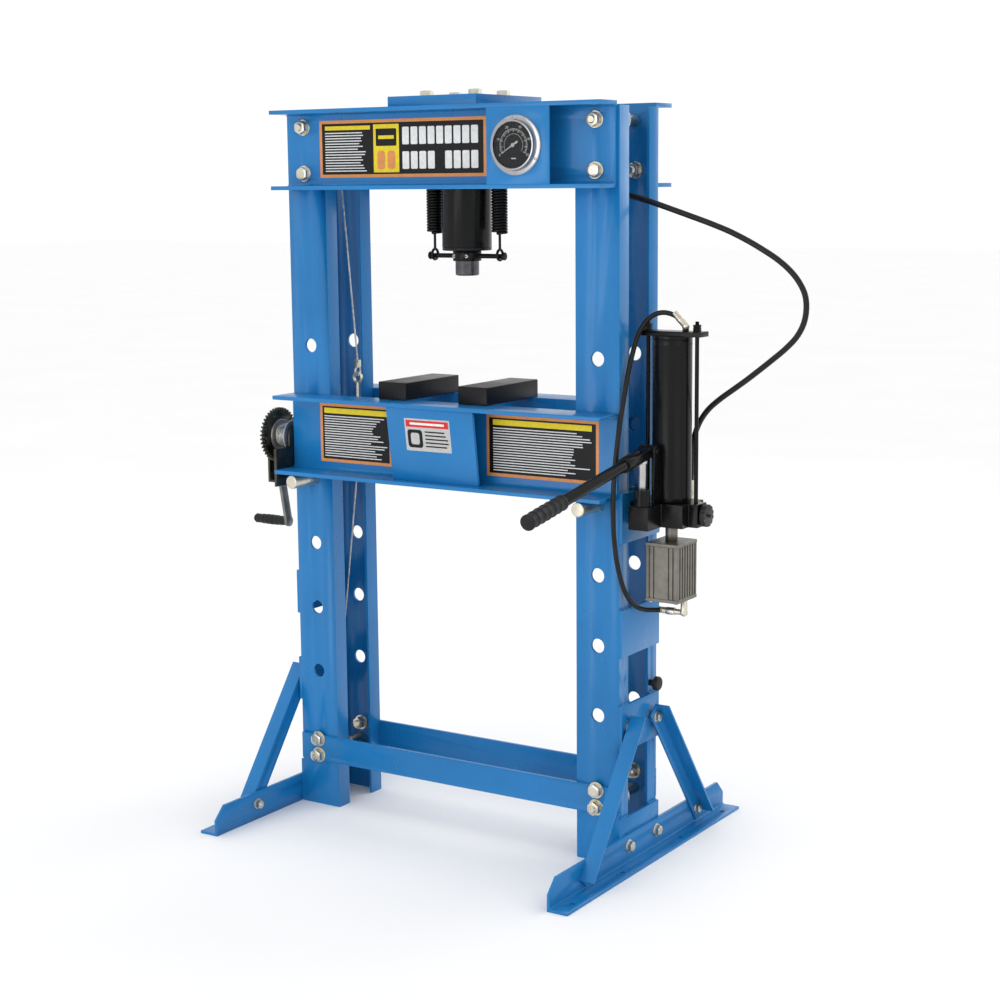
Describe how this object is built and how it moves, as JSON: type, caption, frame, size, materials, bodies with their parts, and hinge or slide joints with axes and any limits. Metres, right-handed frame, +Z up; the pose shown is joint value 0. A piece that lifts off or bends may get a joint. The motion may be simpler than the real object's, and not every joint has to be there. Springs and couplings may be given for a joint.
{
  "type": "hydraulic shop press",
  "caption": "Floor-standing hydraulic shop press: H-frame of channels, adjustable bed on pins, sprung ram, gauge, hand and air pump with hoses, and a rope winch for the bed.",
  "frame": {"origin": "on the floor, at the middle of the rectangle of floor anchor holes in the feet", "axes": "+Z up, +X to the operator's right (the pump side), +Y to the back, so the operator stands on the -Y side"},
  "size_m": [1.6055, 1.0688, 1.8905],
  "materials": {
    "press_blue": "gloss",
    "gauge_chrome": "polished",
    "dial_black": "matt",
    "gauge_glass": "clear",
    "needle_white": "matt",
    "zinc_plate": "satin",
    "gloss_black": "gloss",
    "machined_steel": "ground",
    "winch_steel": "satin",
    "drum_steel": "satin",
    "black_rubber": "moulded",
    "wire_rope": "stranded",
    "knob_plastic": "moulded",
    "motor_alloy": "anodised"
  },
  "bodies": {
    "frame": {"head_channel_front": "press_blue", "head_channel_rear": "press_blue", "cylinder_top_plate": "press_blue", "gauge_panel": "press_blue", "gauge_case": "gauge_chrome", "gauge_dial": "dial_black", "gauge_lens": "gauge_glass", "post_front_left": "press_blue", "post_front_right": "press_blue", "post_rear_left": "press_blue", "post_rear_right": "press_blue", "frame_bolts": "zinc_plate", "pulley_studs": "zinc_plate", "side_plates": "press_blue", "crossbars": "press_blue", "feet": "press_blue", "foot_braces": "press_blue", "foot_bolts": "zinc_plate", "cylinder_barrel": "gloss_black", "cylinder_cap": "gloss_black", "cylinder_gland": "machined_steel", "return_springs": "gloss_black", "frame_rope": "wire_rope", "upper_ropes": "wire_rope", "lower_rope": "wire_rope", "pump_base": "gloss_black", "pump_reservoir": "gloss_black", "pump_top_bar": "gloss_black", "pump_tie_rods": "gloss_black", "handle_bracket": "gloss_black", "air_motor": "motor_alloy", "hose_fittings": "zinc_plate", "storage_peg": "black_rubber", "air_hose": "black_rubber", "hydraulic_hose": "black_rubber"},
    "ram": {"ram": "machined_steel", "spring_bar": "gloss_black"},
    "bed": {"bed_channel_front": "press_blue", "bed_channel_rear": "press_blue", "bed_plates": "press_blue", "bed_spacers": "press_blue", "rope_eyes": "zinc_plate", "winch_frame": "winch_steel"},
    "winch_drum": {"winch_drum": "drum_steel", "winch_gear": "winch_steel"},
    "winch_crank": {"winch_crank": "winch_steel"},
    "crank_grip": {"crank_grip": "black_rubber"},
    "pulley_top_left": {"pulley_top_left": "drum_steel"},
    "pulley_top_right": {"pulley_top_right": "drum_steel"},
    "pulley_bottom_left": {"pulley_bottom_left": "drum_steel"},
    "pulley_bottom_right": {"pulley_bottom_right": "drum_steel"},
    "bed_pin_left": {"bed_pin_left": "machined_steel"},
    "bed_pin_right": {"bed_pin_right": "machined_steel"},
    "arbor_plate_left": {"arbor_plate_left": "gloss_black"},
    "arbor_plate_right": {"arbor_plate_right": "gloss_black"},
    "pump_handle": {"pump_handle": "gloss_black", "handle_grip": "black_rubber"},
    "pump_plunger": {"pump_plunger": "machined_steel"},
    "release_knob": {"release_knob": "knob_plastic"},
    "gauge_needle": {"gauge_needle": "needle_white"}
  },
  "joints": [
    {"name": "ram_slide", "type": "slide", "parent": "frame", "child": "ram", "axis": [0, 0, -1], "range_m": [0, 0.125], "stiffness_N_per_m": 2000, "springref_m": -0.1, "deforming": ["return_springs"]},
    {"name": "bed_lift", "type": "slide", "parent": "frame", "child": "bed", "axis": [0, 0, 1], "range_m": [0, 0.175], "deforming": ["upper_ropes", "lower_rope"]},
    {"name": "drum_turn", "type": "hinge", "parent": "bed", "child": "winch_drum", "pos_m": [-0.5275, -0.092, 1.0058], "axis": [1, 0, 0], "range_deg": [-620, 0]},
    {"name": "crank_turn", "type": "hinge", "parent": "bed", "child": "winch_crank", "pos_m": [-0.585, -0.05644, 0.92203], "axis": [1, 0, 0], "range_deg": [0, 2060]},
    {"name": "crank_grip_spin", "type": "hinge", "parent": "winch_crank", "child": "crank_grip", "pos_m": [-0.638, -0.02439, 0.75712], "axis": [1, 0, 0], "continuous": true},
    {"name": "pulley_top_left_turn", "type": "hinge", "parent": "frame", "child": "pulley_top_left", "pos_m": [-0.432, 0, 1.808], "axis": [0, 1, 0], "range_deg": [-400, 0]},
    {"name": "pulley_top_right_turn", "type": "hinge", "parent": "frame", "child": "pulley_top_right", "pos_m": [0.432, 0, 1.808], "axis": [0, 1, 0], "range_deg": [0, 400]},
    {"name": "pulley_bottom_left_turn", "type": "hinge", "parent": "frame", "child": "pulley_bottom_left", "pos_m": [-0.432, 0, 0.141], "axis": [0, 1, 0], "range_deg": [0, 400]},
    {"name": "pulley_bottom_right_turn", "type": "hinge", "parent": "frame", "child": "pulley_bottom_right", "pos_m": [0.432, 0, 0.141], "axis": [0, 1, 0], "range_deg": [0, 400]},
    {"name": "pin_left_pull", "type": "slide", "parent": "frame", "child": "bed_pin_left", "axis": [0, -1, 0], "range_m": [0, 0.3]},
    {"name": "pin_right_pull", "type": "slide", "parent": "frame", "child": "bed_pin_right", "axis": [0, -1, 0], "range_m": [0, 0.3]},
    {"name": "arbor_left_slide", "type": "slide", "parent": "bed", "child": "arbor_plate_left", "axis": [1, 0, 0], "range_m": [-0.12, 0.07]},
    {"name": "arbor_right_slide", "type": "slide", "parent": "bed", "child": "arbor_plate_right", "axis": [1, 0, 0], "range_m": [-0.01, 0.16]},
    {"name": "handle_swing", "type": "hinge", "parent": "frame", "child": "pump_handle", "pos_m": [0.557, -0.068, 1.033], "axis": [-1, 0, 0], "range_deg": [0, 50]},
    {"name": "plunger_slide", "type": "slide", "parent": "frame", "child": "pump_plunger", "axis": [0, 0, 1], "range_m": [0, 0.02]},
    {"name": "release_turn", "type": "hinge", "parent": "frame", "child": "release_knob", "pos_m": [0.664, 0, 0.877], "axis": [1, 0, 0], "range_deg": [0, 180]},
    {"name": "needle_turn", "type": "hinge", "parent": "frame", "child": "gauge_needle", "pos_m": [0.258, -0.19, 1.751], "axis": [0, 1, 0], "range_deg": [0, 242], "stiffness_Nm_per_rad": 0.0005, "springref_deg": -17.19}
  ],
  "couplings": [
    {"joint": "drum_turn", "follows": "bed_lift", "rad_per_m": -59.701},
    {"joint": "crank_turn", "follows": "bed_lift", "rad_per_m": 199},
    {"joint": "pulley_top_left_turn", "follows": "bed_lift", "rad_per_m": -37.037},
    {"joint": "pulley_top_right_turn", "follows": "bed_lift", "rad_per_m": 37.037},
    {"joint": "pulley_bottom_left_turn", "follows": "bed_lift", "rad_per_m": 37.037},
    {"joint": "pulley_bottom_right_turn", "follows": "bed_lift", "rad_per_m": 37.037},
    {"joint": "plunger_slide", "follows": "handle_swing", "m_per_rad": 0.0229}
  ]
}
